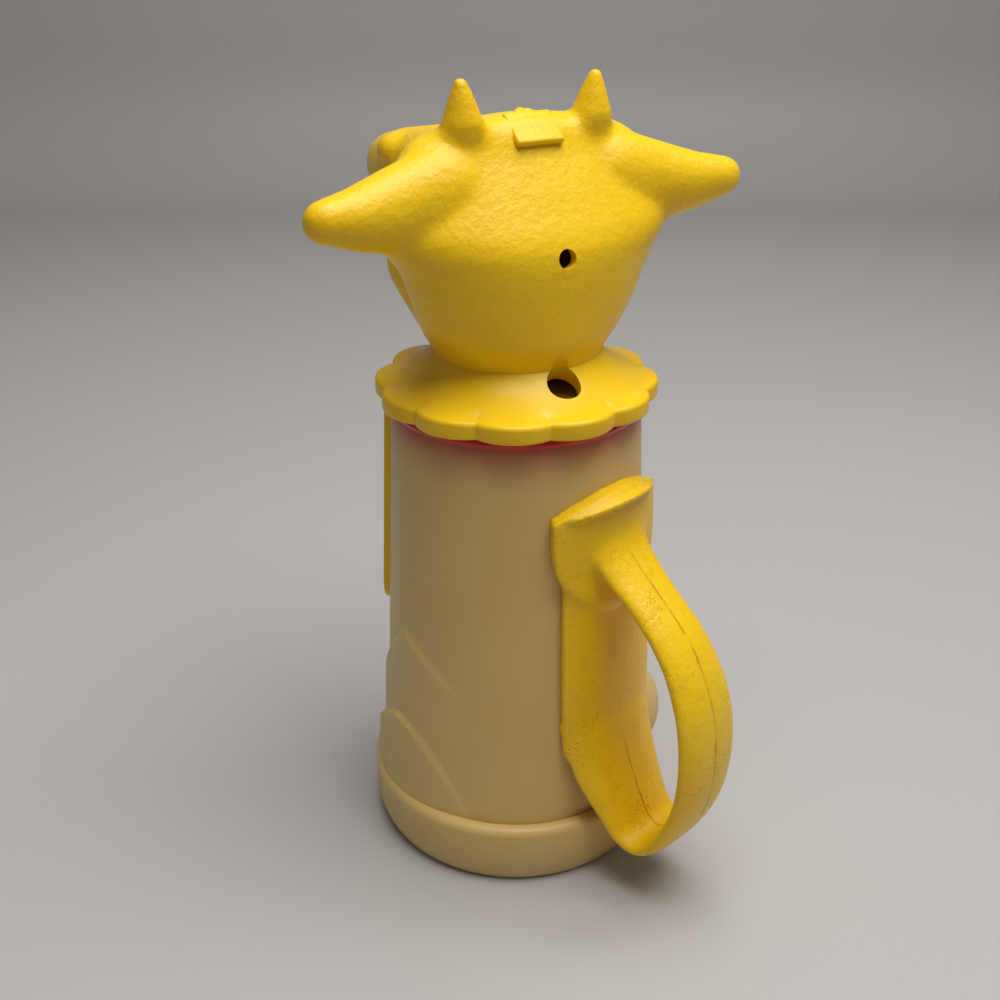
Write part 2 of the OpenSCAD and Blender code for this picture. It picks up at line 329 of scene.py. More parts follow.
# %% [markdown]
# ## Plates on the wall
#
# The bib, the cuff and the strap of the handle all lie on the cone. One function makes
# them: a grid rolled onto the wall between a lower and an upper edge, given its
# thickness by Solidify. Bevel then rounds the bib, and a remesh rounds the other two.

# %% Wall plate and the bib
PLATE_GAP = 0.03
BIB_HALF_ANGLE = 38.9
BIB_HALF_WIDTH = 20.5
BIB_CORNER_R = 9
BIB_T = 2.1


def wall_plate(name, middle, half_angle, edges, thickness):
    """A plate on the wall: edges(u) gives its lower and upper height across its width."""
    def rule(u, v):
        z0, z1 = edges(u)
        z = z0 + (z1 - z0) * (v + 1) / 2
        return around(math.radians(middle) + math.radians(half_angle) * u, wall_r(z) + PLATE_GAP, z)

    piece = grid(name, 64, 72, rule)
    return modify(piece, "SOLIDIFY", thickness=thickness * MM, offset=1)


def round_corner(u, half_width, corner):
    """Rise of a plate's lower edge towards a rounded corner."""
    into = np.clip((np.abs(u) * half_width - half_width + corner) / corner, 0, 1)
    return corner * (1 - np.sqrt(1 - into * into))


def bib_edges(u):
    return BIB_LOW_Z + round_corner(u, BIB_HALF_WIDTH, BIB_CORNER_R), np.full(u.shape, BIB_TOP_Z)


bib_plate = wall_plate("bib_plate", -90, BIB_HALF_ANGLE, bib_edges, BIB_T)
sharp = math.radians(50)
modify(bib_plate, "BEVEL", width=0.6 * MM, segments=3, limit_method="ANGLE", angle_limit=sharp)
smooth(bib_plate)
print("bib:", len(bib_plate.data.polygons), "faces")

# %% [markdown]
# ## The handle
#
# The handle is one strap, folded at its lowest point: it arches out from a cuff, comes
# back under the hand and runs up the wall again. The grip bulges outwards and the strap
# follows the round of the cup. A grid rolled round a smooth centre line gives that
# changing section. The plates and the ledge are joined to it, and a voxel remesh with a
# little smoothing melts them together, as in a mould.

# %% Centre line of the handle
LOOP = [(27.6, 90), (29.2, 86.4), (31.9, 82), (35.9, 77.9), (41.5, 73.4), (46.6, 69.1), (51.1, 63.7),
        (54.4, 57.6), (56.5, 51.3), (57.5, 44), (57.4, 36.1), (56.1, 28.6), (53.4, 21.3), (50, 15.8),
        (46.2, 13.4), (41.8, 14.6), (38, 19.4), (34.2, 25.3), (31.2, 31.1), (29.2, 36.8), (27.4, 42.5)]
LOOP_WIDTH = [9, 9, 8.8, 8.3, 7.7, 7.7, 8, 8.6, 9, 9.2, 9.2, 9.2, 9.3, 9.5, 9.7, 10.2, 11.2, 12.7,
              14.1, 15, 15.1]
LOOP_ARCH = [1, 1, 1, 1, 1, 1, 1, 1, 1, 1, 1, 0.9, 0.6, 0.2, -0.3, -1, -1.8, -2.5, -3.1, -3.4, -3.4]
LOOP_T = 3.7
HANDLE_VOXEL = 0.42


def spline(values, t):
    """Smooth value at t along a list, where t counts its entries."""
    values = np.array(values, float)
    i = np.clip(np.floor(t).astype(int), 0, len(values) - 2)
    f = t - i
    a, b, c, d = (values[np.clip(i + k, 0, len(values) - 1)] for k in (-1, 0, 1, 2))
    square, cube = 2 * a - 5 * b + 4 * c - d, 3 * b - a - 3 * c + d
    return 0.5 * (2 * b + (c - a) * f + square * f ** 2 + cube * f ** 3)


def loop_point(u, v):
    """A point on the strap: u runs round its section and v along its centre line."""
    t = (v + 1) / 2 * (len(LOOP) - 1)
    out, up = ([p[k] for p in LOOP] for k in (0, 1))
    dy, dz = (spline(line, t + 0.02) - spline(line, t - 0.02) for line in (out, up))
    length = np.hypot(dy, dz)
    angle = math.pi * u
    side = np.sign(np.cos(angle)) * np.abs(np.cos(angle)) ** 0.62
    lift = LOOP_T / 2 * np.sign(np.sin(angle)) * np.abs(np.sin(angle)) ** 0.8
    lift = lift + spline(LOOP_ARCH, t) * (1 - side * side)
    y = spline(out, t) - lift * dz / length
    z = spline(up, t) + lift * dy / length
    return spline(LOOP_WIDTH, t) * side, y, z


def closed_tube(piece):
    """Welds a rolled grid into a tube and fills its two ends."""
    weld(piece)
    bpy.ops.object.mode_set(mode="EDIT")
    bpy.ops.mesh.select_all(action="SELECT")
    bpy.ops.mesh.fill_holes(sides=0)
    bpy.ops.mesh.normals_make_consistent(inside=False)
    bpy.ops.object.mode_set(mode="OBJECT")
    return piece


loop = closed_tube(grid("loop", 56, 170, loop_point))
print("loop:", len(loop.data.polygons), "faces")

# %% [markdown]
# The cuff's lower edge is half an oval and the thumb ledge above it is a crescent, so
# both follow the same half circle across their width. The strap lies flatter than the
# cuff, which leaves the cuff's edge standing over it.

# %% Cuff, strap and thumb ledge
CUFF_HALF_ANGLE = 31.5
CUFF_T = 3.0
CUFF_LOW_Z = 69.5
CUFF_TOP_Z = 91.0
CUFF_SWEEP = 16.0
LEDGE_RISE = 4.6
LEDGE_REACH = 4.9
LEDGE_LIP = 0.7
LEDGE_T = 1.5
STRAP_HALF_ANGLE = 26.8
STRAP_LOW_Z = 33.0
STRAP_T = 2.2


def fullness(u):
    """Half circle across the width: 1 in the middle, 0 at the edges."""
    return np.sqrt(np.clip(1 - u * u, 0, 1))


def ledge_z(u):
    return CUFF_TOP_Z + 2.2 + LEDGE_RISE * (1 - u * u)


def cuff_edges(u):
    return CUFF_LOW_Z + CUFF_SWEEP * (1 - fullness(u)), ledge_z(u) - 0.6


def strap_edges(u):
    return np.full(u.shape, STRAP_LOW_Z), np.full(u.shape, CUFF_LOW_Z + 12)


def ledge_point(u, v):
    t = (v + 1) / 2
    reach = (LEDGE_REACH * fullness(u) + LEDGE_LIP) * t
    z = ledge_z(u) - 2.0 * t * fullness(u)
    return around(math.pi / 2 + math.radians(CUFF_HALF_ANGLE - 0.5) * u, wall_r(z) + PLATE_GAP + reach, z)


cuff = wall_plate("cuff", 90, CUFF_HALF_ANGLE, cuff_edges, CUFF_T)
strap = wall_plate("strap", 90, STRAP_HALF_ANGLE, strap_edges, STRAP_T)
ledge = modify(grid("ledge", 64, 16, ledge_point), "SOLIDIFY", thickness=LEDGE_T * MM, offset=1)
loop_handle = joined("loop_handle", [loop, cuff, strap, ledge])
modify(loop_handle, "REMESH", mode="VOXEL", voxel_size=HANDLE_VOXEL * MM)
modify(loop_handle, "SMOOTH", factor=0.5, iterations=6)
print("handle melted:", len(loop_handle.data.polygons), "faces")

# %% [markdown]
# A moulded part has its widest fillets where a loop leaves a plate. Smoothing moves only
# the points that a vertex group holds, so a weight by place gives fillets at the two roots
# of the loop and leaves the cuff's own edge crisp.

# %% Fillets at the roots
def fillet(piece, weight, iterations):
    """Smooths a piece only where the weight says, which leaves a fillet there."""
    group = piece.vertex_groups.new(name="fillet")
    for vertex in piece.data.vertices:
        x, y, z = (c / MM for c in vertex.co)
        group.add([vertex.index], min(1.0, weight(x, y, z)), "REPLACE")
    modify(piece, "SMOOTH", factor=0.6, iterations=iterations, vertex_group="fillet")
    piece.vertex_groups.clear()


def near_roots(x, y, z):
    """High where the loop leaves the cuff and where its foot meets the strap."""
    top = math.exp(-(x / 12) ** 4 - ((z - 79) / 9) ** 4)
    foot = math.exp(-((z - 37) / 7) ** 4) * (y < 38)
    return 1.3 * max(top, foot)


fillet(loop_handle, near_roots, 70)
print("handle:", [round(side / MM, 1) for side in loop_handle.dimensions], "mm")

# %% [markdown]
# The mould's two halves met along the middle of the grip and left a shallow groove. It
# is a real groove here, so it shows in the mesh, and the finish draws a dark broken line along it.

# %% Seam groove along the grip
GAP_Y = 30
GAP_Z = 44
GROOVE_DEPTH = 0.16


def groove(x, y, z):
    """Sinks a wandering line towards the middle of the gap, on the loop only."""
    wander = 0.25 * np.sin(z * 0.31) + 0.15 * np.sin(z * 0.83)
    near = np.exp(-((x - wander) / 0.4) ** 2)
    out = ease((y - 31) / 3)
    length = np.maximum(np.hypot(y - GAP_Y, z - GAP_Z), 1e-6)
    sink = GROOVE_DEPTH * near * out * ((y - GAP_Y) * (z > 20) > 4)
    return x, y - sink * (y - GAP_Y) / length, z - sink * (z - GAP_Z) / length


move_points(loop_handle, groove)
smooth(loop_handle, 60)
print("groove:", GROOVE_DEPTH, "mm deep")

# %% [markdown]
# ## Stopper and seal
#
# The red stopper plugs the mouth. Only the edge of its flange shows under the petals,
# but when the lid is lifted the skirt, the seal ring in its groove and the hub are all
# in view, so they are turned in full.

# %% Stopper
SKIRT_R = WALL_RIM_R - WALL_T - 0.6
HUB_R = 8.5
HUB_TOP_Z = FLANGE_TOP_Z + 7.6
SKIRT_Z = RIM_Z - 8.3
SEAL_Z = RIM_Z - 5.4
SEAL_H = 2.6
STRAW_R = 3.75
STRAW_LEAN = math.radians(30)
STRAW_TOP = (0, 20.8, 119.9)


def stopper_outline():
    inner = SKIRT_R - 2.5
    return [
        (0, RIM_Z), (inner - 0.6, RIM_Z), (inner, RIM_Z - 0.6), (inner, SKIRT_Z + 0.3),
        *arc(SKIRT_R - 0.5, SKIRT_Z + 0.5, 0.5, -90, 0, 4), (SKIRT_R, SEAL_Z - SEAL_H / 2),
        (SKIRT_R - 0.7, SEAL_Z - SEAL_H / 2), (SKIRT_R - 0.7, SEAL_Z + SEAL_H / 2),
        (SKIRT_R, SEAL_Z + SEAL_H / 2), (SKIRT_R, RIM_Z), (FLANGE_R - 0.4, RIM_Z),
        *arc(FLANGE_R - 0.8, RIM_Z + 1, 0.8, -50, 60, 6), (FLANGE_R - 1, FLANGE_TOP_Z),
        (HUB_R, FLANGE_TOP_Z), (HUB_R, HUB_TOP_Z - 2.2), (HUB_R + 0.7, HUB_TOP_Z - 1.4),
        (HUB_R, HUB_TOP_Z), (0, HUB_TOP_Z),
    ]


def straw_tool(name, below, above):
    """A cylinder along the straw's leaning path, facing +Y as the head is drawn."""
    bpy.ops.object.select_all(action="DESELECT")
    bpy.ops.mesh.primitive_cylinder_add(vertices=64, radius=STRAW_R * MM, depth=(below + above) * MM)
    tool = named(name)
    lean = Matrix.Rotation(-STRAW_LEAN, 4, "X")
    middle = Matrix.Translation((0, 0, (above - below) / 2 * MM))
    tool.data.transform(Matrix.Translation([c * MM for c in STRAW_TOP]) @ lean @ middle)
    return tool


def turned(piece):
    """Turns a piece that is drawn facing +Y to where the head looks."""
    piece.data.transform(Matrix.Rotation(HEAD_TURN, 4, "Z"))
    return piece


red_stopper = lathe("red_stopper", stopper_outline(), 180)
cut(red_stopper, [turned(straw_tool("stopper_drill", 30, 4))])
smooth(red_stopper)
print("stopper:", len(red_stopper.data.polygons), "faces")

# %% [markdown]
# The seal is a soft ring with two rounded lips. It fills its groove and stands a little
# past the skirt, towards the bore of the mouth.

# %% Seal ring
def seal_outline():
    inner, outer = SKIRT_R - 0.69, WALL_RIM_R - WALL_T - 0.12
    low_z, high_z = SEAL_Z - SEAL_H / 2 + 0.02, SEAL_Z + SEAL_H / 2 - 0.02
    return [
        (inner, low_z), (outer - 0.35, low_z), *arc(outer - 0.35, low_z + 0.5, 0.35, -70, 60, 5),
        (outer - 0.3, SEAL_Z), *arc(outer - 0.35, high_z - 0.5, 0.35, -60, 70, 5),
        (outer - 0.35, high_z), (inner, high_z), (inner, low_z),
    ]


seal_ring = smooth(lathe("seal_ring", seal_outline(), 180), 50)
print("seal:", len(seal_ring.data.polygons), "faces")

# %% [markdown]
# ## Petal collar
#
# The collar is a round ruff with a petalled rim, like a daisy. It is turned on the lathe
# as a plain dish first. Then every point near the rim is drawn in to the edge of its
# petal, whose radius is that of a ring of overlapping circles.

# %% Petal collar
def petal_r(angle):
    """Radius of the rim at an angle: the outermost of the petals' circles."""
    pitch = math.tau / PETALS
    aside = (angle - math.pi / 2 + pitch / 2) % pitch - pitch / 2
    centre = PETAL_TIP_R - PETAL_ARC_R
    return centre * np.cos(aside) + np.sqrt(PETAL_ARC_R ** 2 - (centre * np.sin(aside)) ** 2)


# Radius and rise of the dome between the rim and the neck.
DOME = [(29.2, 0.02), (27.8, 0.3), (26, 0.85), (24.2, 1.65), (22.5, 2.6), (21.2, 3.55),
        (20.1, 4.6), (19.2, 5.6)]


def collar_outline():
    web_z = COLLAR_Z + 1.6
    spigot = NECK_R - HEAD_T
    tip = PETAL_TIP_R
    return [
        (HUB_R + 0.1, web_z), (24, web_z), (24, COLLAR_Z), (27, COLLAR_Z),
        *arc(tip - 0.7, COLLAR_Z + 0.7, 0.7, -90, 0, 5), (tip, COLLAR_Z + 2),
        *arc(tip - 1.0, RIM_TOP_Z - 1.1, 1.0, 0, 80, 7),
        *[(r, RIM_TOP_Z + rise) for r, rise in DOME],
        (NECK_R, NECK_Z), (spigot, NECK_Z), (spigot, NECK_Z + 3), (spigot - 1.4, NECK_Z + 3),
        (spigot - 1.4, RIM_TOP_Z + 4.4), (21, RIM_TOP_Z + 0.8),
        (23, web_z + 2), (HUB_R + 0.1, web_z + 2), (HUB_R + 0.1, web_z),
    ]


def petal_shape(x, y, z):
    """Draws the rim in to its petals and lets it fall a little towards each tip."""
    r = np.hypot(x, y)
    angle = np.arctan2(y, x)
    drawn = ease((r - 25.5) / 4) * (petal_r(angle) - PETAL_TIP_R)
    fall = 0.35 * ease((r - 27) / 4) * (1 - (petal_r(angle) - 29.3) / 2) * (z > RIM_TOP_Z - 1.2)
    return (r + drawn) * np.cos(angle), (r + drawn) * np.sin(angle), z - fall


petal_ruff = lathe("petal_ruff", collar_outline(), 360)
move_points(petal_ruff, petal_shape)
cut(petal_ruff, [straw_tool("ruff_drill", 16, 10)])
turned(petal_ruff)
smooth(petal_ruff, 38)
print("collar:", len(petal_ruff.data.polygons), "faces")

# %% [markdown]
# ## The calf's head
#
# The head is a soft form. Its skull is a loft, egg shapes wrapped in convex hulls make
# the ears and the muzzle, and spun horns stand on the crown. They are joined, remeshed
# and smoothed, so that every root flows into the next, and then parted along the mould
# seam into a back shell and a face.

# %% Egg shapes and hulls
def egg(centre, sizes):
    """An egg shape by its middle and its half sizes, in mm."""
    bpy.ops.object.select_all(action="DESELECT")
    bpy.ops.mesh.primitive_uv_sphere_add(segments=32, ring_count=16, radius=MM)
    return move_points(named("egg"), lambda x, y, z: tuple(
        c + s * v for c, s, v in zip(centre, sizes, (x, y, z))))


def hull(name, eggs):
    """Egg shapes wrapped in one convex skin."""
    piece = joined(name, [egg(*e) for e in eggs])
    bpy.ops.object.mode_set(mode="EDIT")
    bpy.ops.mesh.select_all(action="SELECT")
    bpy.ops.mesh.convex_hull()
    bpy.ops.object.mode_set(mode="OBJECT")
    return piece


def both_sides(make):
    """Makes the same thing on the right and the left."""
    return [make(side) for side in (1, -1)]


# %% [markdown]
# The back of the head is narrow at the neck, widest just under the ears and rounded over at
# the crown, so it is lofted through flat sections. A horn swells above its root and thins to
# a blunt tip, which a lathe gives at once.

# %% Skull, ears and horns
# Each section is a height, a half width, a middle, and a depth behind and in front.
SKULL = [
    (118.5, 18.4, 0, 18.4, 18.4), (122, 18.4, 0, 18.4, 18.4), (124.5, 20, 0.8, 19.4, 17.6),
    (127, 21.9, 1.8, 20.2, 16.2), (131.7, 24.6, 3.2, 20.6, 9.5), (135.4, 26, 4, 20.9, 7.6),
    (140, 27.7, 4.4, 21.2, 7.6), (143.5, 29.4, 4.6, 21.2, 7.4), (146.7, 32.4, 4.6, 20.7, 7.7),
    (150, 33.6, 4.6, 19.1, 9.4), (154, 32.4, 4.4, 16.4, 11), (158, 30.4, 4, 13.8, 12),
    (161, 28.5, 3.6, 11.8, 12), (163.5, 27.3, 3.2, 10.1, 11.5), (166, 25.2, 2.8, 8.9, 10.5),
    (168, 21.5, 2.6, 8.0, 9), (169.6, 14.5, 2.4, 6.6, 6), (170.5, 6, 2.4, 5, 2),
]
HORN_ROOT_Z = 166
# Radius and height up a horn.
HORN = [(3, 158), (3.4, 165), (4.1, 167), (4.7, 168.5), (4.4, 170), (3.5, 172), (2.8, 174),
        (2.0, 176), (1.4, 177.3)]


def skull(name, wall=0.0):
    """The back of the head as a loft up its height, made smaller all round by the wall's thickness."""
    def rule(u, v):
        heights, *lines = np.array(SKULL).T
        z = heights[0] + (heights[-1] - wall - heights[0]) * (v + 1) / 2
        width, middle, back, front = (np.interp(z, heights, line) for line in lines)
        angle = math.pi * u
        depth = np.where(np.sin(angle) > 0, back - middle - wall, front + middle - wall)
        return np.maximum(width - wall, 1) * np.cos(angle), middle + np.maximum(depth, 1) * np.sin(angle), z

    return closed_tube(grid(name, 96, 60, rule))


def ear(side):
    """An ear as a chain of hulls, each round two neighbouring egg shapes."""
    eggs = [((19, 4.6, 155.6), (10, 8.2, 11.2)), ((30, 6, 154.9), (8.4, 7, 8.4)),
            ((38, 7.6, 154.7), (6.4, 5.8, 6.1)), ((45.2, 9, 155.2), (4.4, 4.1, 4.2))]
    pairs = [[((side * x, y, z), size) for (x, y, z), size in pair] for pair in zip(eggs, eggs[1:])]
    return joined("ear", [hull("ear_length", pair) for pair in pairs])


def horn(side):
    """A spun horn whose foot flares into the crown."""
    tip_r, tip_z = HORN[-1]
    outline = [(0, HORN[0][1]), *HORN, *arc(0, tip_z - 0.2, tip_r, 15, 90, 5)]
    piece = lathe("horn", outline, 40)
    return move_points(piece, lambda x, y, z: (
        x + side * (14.2 + 0.07 * (z - HORN_ROOT_Z)), y + 4.4 + 0.05 * (z - HORN_ROOT_Z), z))


# %% [markdown]
# The muzzle points forward and tips down a little, with a blunt end. Cheeks swell just in
# front of the seam. The face is a plain, calm calf of no particular kind: two closed
# eyelids, two nostrils and the line of a mouth, set on simple proportions.

# %% Muzzle, cheeks and features
def muzzle():
    """Nose, bridge and jaw, each wrapped round its own egg shapes."""
    nose = hull("nose", [((s * 10.6, -39.2, 155.0), (6.2, 6.2, 7.0)) for s in (-1, 1)]
                + [((s * 12.8, -26, 157), (7.4, 7, 7.9)) for s in (-1, 1)])
    bridge = hull("bridge", [((s * 12.8, -26, 157), (7.4, 7, 7.9)) for s in (-1, 1)]
                  + [((s * 12, -8, 157.5), (9, 8, 10.5)) for s in (-1, 1)])
    jaw = hull("jaw", [((s * 8, -34, 152), (6, 6, 5)) for s in (-1, 1)]
               + [((s * 11, -9, 137), (9, 8, 9)) for s in (-1, 1)])
    return joined("muzzle", [nose, bridge, jaw])


def cheek(side):
    return hull("cheek", [((side * 15.4, -10, 141), (9.8, 6.6, 11)), ((side * 10, -9, 126), (8, 7.5, 6))])


def eyelid(side):
    return egg((side * 16.8, -21.5, 161.2), (4.8, 4.8, 3.9))


def nostril(side):
    return egg((side * 6, -45.6, 155.2), (2.2, 2.0, 1.6))


def mouth():
    return hull("mouth", [((s * 7.5, -44.2, 150.2), (2, 3.2, 0.45)) for s in (-1, 1)])


def eye_crease(side):
    ends = [((side * 17.4 + s * 3.2, -24.6, 160.6 - s * side * 0.5), (1.2, 3.2, 0.42)) for s in (-1, 1)]
    return hull("eye_crease", ends)


HEAD_VOXEL = 0.62
parts = [skull("skull"), muzzle()]
for make in (ear, horn, cheek, eyelid):
    parts.extend(both_sides(make))
head = joined("head", parts)
modify(head, "REMESH", mode="VOXEL", voxel_size=HEAD_VOXEL * MM)
print("head blocked out:", len(head.data.polygons), "faces")

# %% [markdown]
# Smoothing melts the joints, but it would also wear down the thin tips. A vertex group
# holds it back there: full strength on the skull, none at the horn and ear tips. A last
# light pass goes over the whole head.

# %% Melt the joints
def melt(piece, iterations):
    """Smooths the head with its horn and ear tips held back, then lightly all over."""
    group = piece.vertex_groups.new(name="soft")
    for vertex in piece.data.vertices:
        x, _, z = (c / MM for c in vertex.co)
        hold = max(ease((z - 167) / 5), ease((abs(x) - 33) / 10))
        group.add([vertex.index], float(1 - hold), "REPLACE")
    modify(piece, "SMOOTH", factor=0.6, iterations=iterations, vertex_group="soft")
    modify(piece, "SMOOTH", factor=0.5, iterations=3)
    piece.vertex_groups.clear()
    return piece


melt(head, 16)


def near_joints(x, y, z):
    """High round the foot of each horn and in the hollow under each ear."""
    foot = math.exp(-((abs(x) - 14.5) / 8) ** 4 - ((z - HORN_ROOT_Z) / 4) ** 4)
    under = math.exp(-((abs(x) - 27) / 8) ** 4 - ((z - 145.5) / 5) ** 4)
    return 1.2 * max(foot, 0.8 * under) * (y > -3)


fillet(head, near_joints, 36)
only(head)
bpy.ops.object.mode_set(mode="EDIT")
bpy.ops.mesh.select_all(action="SELECT")
neck_cut = (0, 0, (NECK_Z + 0.04) * MM)
bpy.ops.mesh.bisect(plane_co=neck_cut, plane_no=(0, 0, 1), use_fill=True, clear_inner=True)
bpy.ops.object.mode_set(mode="OBJECT")
cut(head, [*both_sides(nostril), mouth(), *both_sides(eye_crease)])
print("head melted:", len(head.data.polygons), "faces")

# %% [markdown]
# The shells are hollow, as thin mouldings are, though the muzzle and cheeks stay solid
# because their inside never shows. The hollow is a smaller skull taken out of the whole.
# Then the neck is opened and the vent and the straw's notch are drilled through. Only
# after that is the head parted, so each cut edge shows its wall.

# %% Hollow the head, then part it into two shells
VENT_R = 2
VENT_Z = 145.3


def neck_tool():
    """A cylinder that opens the neck."""
    bpy.ops.object.select_all(action="DESELECT")
    bpy.ops.mesh.primitive_cylinder_add(vertices=96, radius=(NECK_R - HEAD_T) * MM, depth=8 * MM,
                                        location=(0, 0, (NECK_Z - 1) * MM))
    return settle(named("neck_drill"))


def shell_side(source, name, keep_back):
    """Copies the head and keeps what lies behind or in front of the seam."""
    piece = source.copy()
    piece.data = source.data.copy()
    bpy.context.collection.objects.link(piece)
    only(piece)
    piece.name = name
    piece.data.name = name
    plane = SEAM_Y + (SEAM_GAP if keep_back else -SEAM_GAP)
    bpy.ops.object.mode_set(mode="EDIT")
    bpy.ops.mesh.select_all(action="SELECT")
    bpy.ops.mesh.bisect(plane_co=(0, plane * MM, 0), plane_no=(0, 1, 0), use_fill=True,
                        clear_inner=keep_back, clear_outer=not keep_back)
    bpy.ops.object.mode_set(mode="OBJECT")
    return piece


def vent_tool():
    """A cylinder for the small hole in the back of the head."""
    bpy.ops.object.select_all(action="DESELECT")
    bpy.ops.mesh.primitive_cylinder_add(vertices=32, radius=VENT_R * MM, depth=20 * MM,
                                        location=(0, 20 * MM, VENT_Z * MM),
                                        rotation=(math.radians(96), 0, 0))
    return settle(named("vent_drill"))


def crown_tab():
    """The face's locking tab, lapped over the crown, with the torn stub of its moulding gate."""
    bpy.ops.object.select_all(action="DESELECT")
    bpy.ops.mesh.primitive_cube_add(size=MM)
    tab = move_points(named("tab"), lambda x, y, z: (x * 10.6, y * 8.4, z * 1.5))
    modify(tab, "BEVEL", width=0.6 * MM, segments=3)
    lapped = Matrix.Rotation(math.radians(-36), 4, "X")
    tab.data.transform(Matrix.Translation((0, 6.6 * MM, 168.3 * MM)) @ lapped)
    lumps = [(-1.2, 1.9, 170.5, 1.5), (0.9, 2.3, 170.6, 1.3), (0.1, 1.3, 170.9, 1.1), (2.1, 1.6, 170.4, 0.8)]
    stub = [egg((x, y, z), (r, r * 0.8, r * 0.6)) for x, y, z, r in lumps]
    return joined("crown_tab", [tab, *stub])


cut(head, [skull("hollow", HEAD_T)])
print("head hollowed:", len(head.data.polygons), "faces")
cut(head, [neck_tool()])
print("neck opened:", len(head.data.polygons), "faces")
cut(head, [straw_tool("head_drill", 8, 12), vent_tool()])
print("head drilled:", len(head.data.polygons), "faces")
calf_head_back = shell_side(head, "calf_head_back", True)
calf_face = shell_side(head, "calf_face", False)
bpy.data.objects.remove(head)
calf_face = joined("calf_face", [calf_face, crown_tab()])
for shell in (calf_head_back, calf_face):
    turned(shell)
    smooth(shell, 50)
    print(shell.name, len(shell.data.polygons), "faces")

# %% [markdown]
# ## Finishes
#
# Shader maths is easier to read as plain expressions. The small class below wraps a
# socket and overloads the arithmetic, and each operation adds its Math node.

# %% Shader arithmetic
class Flow:
    """A value that flows out of a node and takes part in sums."""

    def __init__(self, finish, socket):
        self.finish = finish
        self.socket = socket

    def _math(self, operation, first, second):
        return self.finish.node("ShaderNodeMath", {"operation": operation}, {0: first, 1: second})

    def __add__(self, other):
        return self._math("ADD", self, other)

    def __sub__(self, other):
        return self._math("SUBTRACT", self, other)

    def __rsub__(self, other):
        return self._math("SUBTRACT", other, self)

    def __mul__(self, other):
        return self._math("MULTIPLY", self, other)

    __radd__ = __add__
    __rmul__ = __mul__

    def between(self, start, end):
        """0 below start, 1 above end, and a straight rise between them."""
        inputs = {"Value": self, "From Min": start, "From Max": end}
        return self.finish.node("ShaderNodeMapRange", {"clamp": True}, inputs)

    def size(self):
        return self._math("ABSOLUTE", self, 0)


# %% [markdown]
# A finish is one material round a Principled shader. Its constants are set on the shader,
# and one method adds every other node from its type, its settings and its inputs.

# %% One finish
class Finish:
    """One material: its nodes are added by node(), and constants go on the shader itself."""

    def __init__(self, name, **constants):
        self.material = bpy.data.materials.new(name)
        self.material.use_nodes = True
        self.tree = self.material.node_tree
        self.shader = self.tree.nodes["Principled BSDF"]
        for key, value in constants.items():
            self.shader.inputs[key.replace("_", " ")].default_value = value
        self.place = self.node("ShaderNodeTexCoord", {}, {}, "Object")

    def node(self, kind, settings, inputs, output=0):
        made = self.tree.nodes.new(kind)
        for key, value in settings.items():
            setattr(made, key, value)
        for key, value in inputs.items():
            if isinstance(value, Flow):
                self.tree.links.new(value.socket, made.inputs[key])
            else:
                made.inputs[key].default_value = value
        return Flow(self, made.outputs[output])

    def feed(self, socket, flow):
        self.tree.links.new(flow.socket, self.shader.inputs[socket])

    def noise(self, scale, detail=2.0, roughness=0.5):
        inputs = {"Vector": self.place, "Scale": scale, "Detail": detail, "Roughness": roughness}
        return self.node("ShaderNodeTexNoise", {}, inputs, "Fac")

    def mix(self, factor, first, second):
        inputs = {0: factor, 6: first, 7: second}
        return self.node("ShaderNodeMix", {"data_type": "RGBA", "clamp_factor": True}, inputs, 2)

    def axis(self, name):
        return self.node("ShaderNodeSeparateXYZ", {}, {0: self.place}, name)

    def bump(self, height, strength, distance):
        inputs = {"Strength": strength, "Distance": distance, "Height": height}
        self.feed("Normal", self.node("ShaderNodeBump", {}, inputs))


# %% [markdown]
# Milky polyethylene is waxy: dull gloss, light that soaks in a little, and faint cloudy
# patches. Where the red stopper sits inside, its colour would glow through the wall; that
# glow is painted into the wall's colour as a red tint that rises with height near the rim,
# and it stays on the wall when the lid is lifted.

# %% Milky cream
CREAM = (0.70, 0.50, 0.18, 1)
CREAM_WARM = (0.64, 0.43, 0.13, 1)
CREAM_SCUFF = (0.42, 0.30, 0.14, 1)
PAINTED_RED_GLOW = (0.42, 0.055, 0.018, 1)


def milky_cream(name, painted_glow):
    finish = Finish(name, Subsurface_Weight=0.18, Subsurface_Scale=0.004, IOR=1.5)
    finish.shader.inputs["Subsurface Radius"].default_value = (1.0, 0.6, 0.25)
    cloud = finish.noise(38, 3).between(0.35, 0.7)
    colour = finish.mix(cloud * 0.5, CREAM, CREAM_WARM)
    scuff = finish.noise(420, 4, 0.7).between(0.62, 0.74)
    colour = finish.mix(scuff * 0.10, colour, CREAM_SCUFF)
    # Painted glow: the red of the stopper shining through the wall is painted into the wall's colour, rising
    # towards the rim.
    if painted_glow:
        height = finish.axis("Z")
        ragged = height + (finish.noise(60) - 0.5) * 0.002
        painted_glow_weight = ragged.between((RIM_Z - 11.5) * MM, (RIM_Z - 0.5) * MM)
        colour = finish.mix(painted_glow_weight * painted_glow_weight * 0.92, colour, PAINTED_RED_GLOW)
    finish.feed("Base Color", colour)
    finish.feed("Roughness", finish.noise(90, 3) * 0.16 + 0.34)
    finish.bump(finish.noise(900, 3) * 0.6 + finish.noise(160, 2), 0.25, 0.00012)
    return finish.material


# %% [markdown]
# The yellow parts are all one plastic. The head and the handle look well handled: an
# orange-peel skin, brown specks worn into it and a dark broken line along the seam. The
# collar and the bib are smoother, so they share the recipe with less of the peel and no specks.

# %% Yellow plastic
YELLOW = (0.93, 0.60, 0.010, 1)
YELLOW_DEEP = (0.86, 0.48, 0.006, 1)
SPECK = (0.30, 0.135, 0.008, 1)


